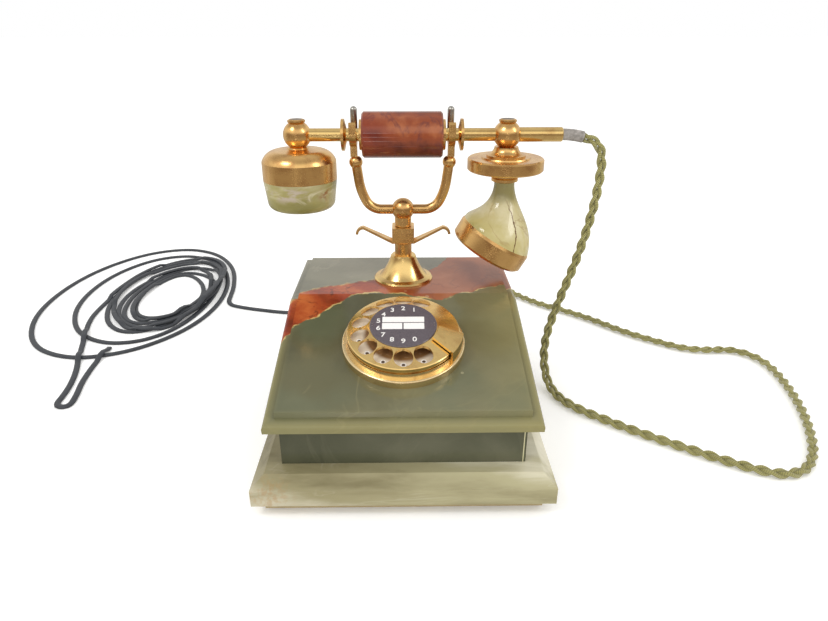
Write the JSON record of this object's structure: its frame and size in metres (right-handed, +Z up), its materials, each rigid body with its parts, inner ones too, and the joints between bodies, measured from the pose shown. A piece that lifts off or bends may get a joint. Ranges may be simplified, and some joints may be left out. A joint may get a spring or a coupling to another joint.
{
  "type": "rotary telephone",
  "caption": "Desk telephone with a stone base, sloping rotary dial, brass pedestal fork and a lift-off handset on a twisted cord.",
  "frame": {"origin": "middle of the felt that the base stands on", "axes": "+Z up, the dial faces -Y, +X to the right"},
  "size_m": [0.7253, 0.5255, 0.2264],
  "materials": {
    "felt": "dense dark felt",
    "pan": "matt black moulded tray",
    "steel": "plain bright steel",
    "onyx_pale": "polished pale beige-green onyx with whitish veins",
    "onyx_green": "polished olive onyx with a rust-red band and cream veins",
    "brass": "polished brass, slightly worn",
    "dark_brass": "darkened brass",
    "nickel": "nickel plate",
    "label": "charcoal card with white digits under a clear cover",
    "case": "dark moulded plastic",
    "board": "brown resin board",
    "winding": "varnished copper winding",
    "onyx_red": "polished red-brown onyx with dark veins",
    "onyx_cream": "polished pale yellow-green onyx with brown veins",
    "grey_rubber": "grey rubber",
    "cord_textile": "olive-gold twisted textile cord",
    "cord_slate": "dark slate flexible cable"
  },
  "bodies": {
    "base": {"base_felt": "felt", "base_pan": "pan", "pan_screws": "steel", "ringer_bracket": "steel", "gong_posts": "steel", "pulse_contacts": "steel", "hook_contacts": "steel", "plinth": "onyx_pale", "front_wall": "onyx_green", "rear_wall": "onyx_green", "left_wall": "onyx_green", "right_wall": "onyx_green", "dial_panel": "onyx_green", "cradle_shelf": "onyx_green", "dial_bezel": "brass", "finger_stop": "brass", "pedestal_bell": "brass", "column_tube": "brass", "pedestal_nut": "brass", "horn_strip": "brass", "guide_block": "brass", "number_plate": "nickel", "gongs": "nickel", "dial_case": "case", "terminal_block": "case", "circuit_board": "board", "induction_coil": "winding", "ringer_coil": "winding", "cord_glands": "grey_rubber", "handset_cord": "cord_textile", "line_cord_lead": "cord_slate", "line_cord_coil": "cord_slate", "line_cord_tail": "cord_slate"},
    "dial": {"finger_wheel": "brass", "label_disc": "label", "dial_shaft": "dark_brass", "drive_gear": "dark_brass"},
    "governor": {"governor": "steel"},
    "clapper": {"clapper": "steel"},
    "cradle": {"plunger_rod": "brass", "fork_hub": "brass", "fork_arms": "brass", "yokes": "brass", "back_pins": "nickel"},
    "handset": {"grip": "onyx_red", "handset_rod": "brass", "grip_washers": "brass", "stop_discs": "brass", "ball_joints": "brass", "cap_screws": "dark_brass", "receiver_dome": "brass", "receiver_cup": "onyx_cream", "receiver_capsule": "case", "mouth_disc": "brass", "mouth_collar": "brass", "mouth_bell": "onyx_cream", "mouth_ring": "brass", "transmitter": "case", "tail_tube": "brass", "strain_relief": "grey_rubber"}
  },
  "joints": [
    {"name": "dial_turn", "type": "hinge", "parent": "base", "child": "dial", "pos_m": [0, -0.03956, 0.0812], "axis": [0, -0.2419, 0.9703], "range_deg": [-290, 0], "stiffness_Nm_per_rad": 0.02, "springref_deg": 34.38},
    {"name": "governor_spin", "type": "hinge", "parent": "base", "child": "governor", "pos_m": [0.0218, -0.03956, 0.0812], "axis": [0, -0.2419, 0.9703], "continuous": true},
    {"name": "handset_lift", "type": "slide", "parent": "base", "child": "handset", "axis": [0, 0, 1], "range_m": [0, 0.1]},
    {"name": "hook_rise", "type": "slide", "parent": "base", "child": "cradle", "axis": [0, 0, 1], "range_m": [0, 0.004]},
    {"name": "clapper_swing", "type": "hinge", "parent": "base", "child": "clapper", "pos_m": [0, 0.02, 0.02], "axis": [0, 0, 1], "range_deg": [-12, 12]}
  ],
  "couplings": [
    {"joint": "governor_spin", "follows": "dial_turn", "ratio": -5},
    {"joint": "hook_rise", "follows": "handset_lift", "ratio": 0.04}
  ]
}
